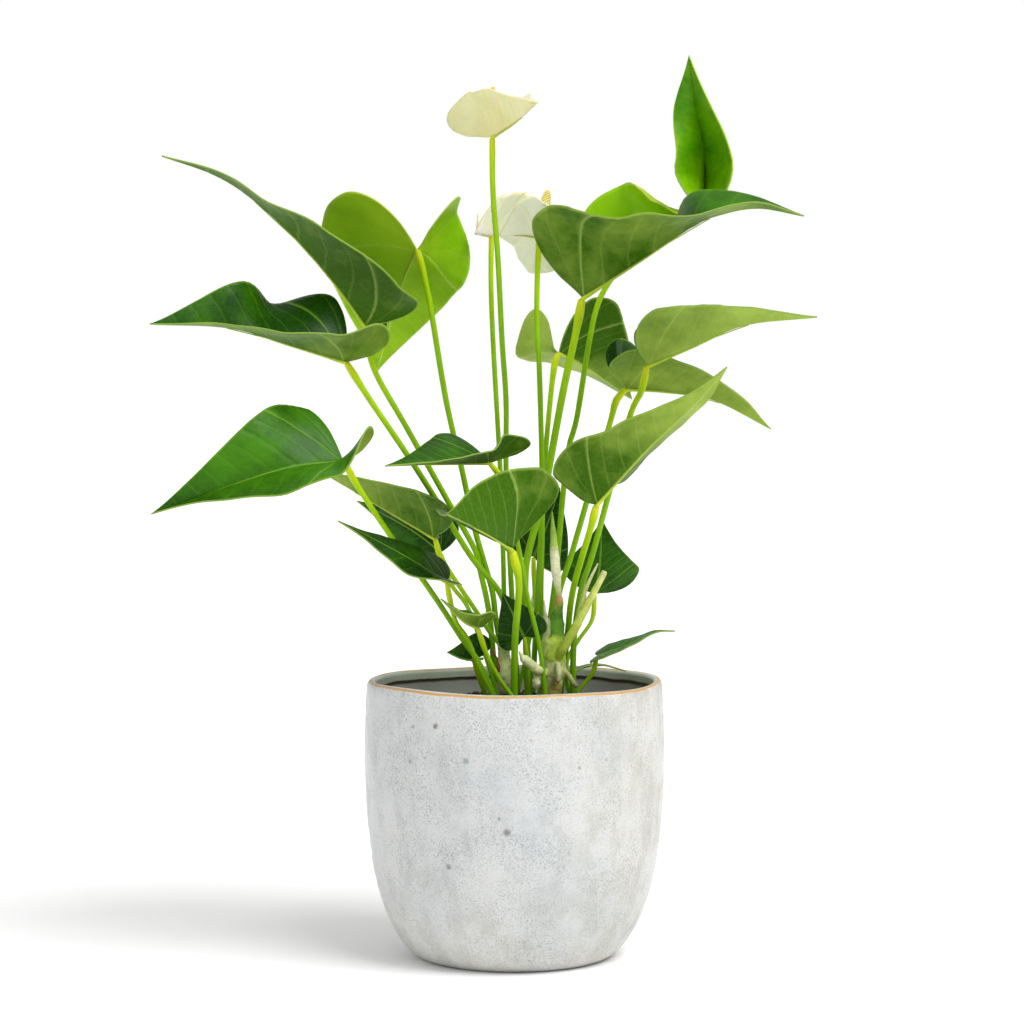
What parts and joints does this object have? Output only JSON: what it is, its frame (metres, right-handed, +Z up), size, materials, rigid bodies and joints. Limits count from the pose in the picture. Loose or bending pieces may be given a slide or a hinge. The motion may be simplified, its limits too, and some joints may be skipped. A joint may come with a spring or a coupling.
{
  "type": "potted anthurium",
  "caption": "White-flowered anthurium with heart-shaped leaves on long stems, planted in a rounded, hand-made stoneware cover pot.",
  "frame": {"origin": "centre of the pot's flat base", "axes": "+Z up, -Y towards the front of the plant, +X to the right seen from the front"},
  "size_m": [0.3484, 0.2215, 0.4882],
  "materials": {
    "glazed_stoneware": "speckled reactive glaze, semi-gloss",
    "potting_mix": "loose, matt",
    "crown_cream": "matt",
    "leaf_green": "satin",
    "young_leaf_green": "satin",
    "stem_green": "satin",
    "spathe_cream": "satin",
    "spadix_yellow": "matt"
  },
  "bodies": {
    "root": {"pot": "glazed_stoneware", "potting_mix": "potting_mix", "crown": "crown_cream", "leaf_top_back": "young_leaf_green", "petiole_top_back": "stem_green", "leaf_top_right": "leaf_green", "petiole_top_right": "stem_green", "leaf_right_middle": "leaf_green", "petiole_right_middle": "stem_green", "leaf_right_front": "leaf_green", "petiole_right_front": "stem_green", "leaf_right_back": "leaf_green", "petiole_right_back": "stem_green", "leaf_back_middle": "leaf_green", "petiole_back_middle": "stem_green", "leaf_top_left": "leaf_green", "petiole_top_left": "stem_green", "leaf_left_middle": "leaf_green", "petiole_left_middle": "stem_green", "leaf_left_bright": "young_leaf_green", "petiole_left_bright": "stem_green", "leaf_left_low": "leaf_green", "petiole_left_low": "stem_green", "leaf_left_under": "leaf_green", "petiole_left_under": "stem_green", "leaf_left_shade": "leaf_green", "petiole_left_shade": "stem_green", "leaf_left_small": "leaf_green", "petiole_left_small": "stem_green", "leaf_centre_middle": "leaf_green", "petiole_centre_middle": "stem_green", "leaf_centre_front": "leaf_green", "petiole_centre_front": "stem_green", "leaf_right_low": "leaf_green", "petiole_right_low": "stem_green", "leaf_centre_small": "leaf_green", "petiole_centre_small": "stem_green", "leaf_front_small": "leaf_green", "petiole_front_small": "stem_green", "leaf_front_rolled": "leaf_green", "petiole_front_rolled": "stem_green", "leaf_right_narrow": "leaf_green", "petiole_right_narrow": "stem_green", "leaf_back_low": "leaf_green", "petiole_back_low": "stem_green", "leaf_back_small": "leaf_green", "petiole_back_small": "stem_green", "spathe_tall": "spathe_cream", "peduncle_tall": "stem_green", "spadix_tall": "spadix_yellow", "spathe_back": "spathe_cream", "peduncle_back": "stem_green", "spadix_back": "spadix_yellow", "spathe_low": "spathe_cream", "peduncle_low": "stem_green", "spadix_low": "spadix_yellow"}
  },
  "joints": []
}
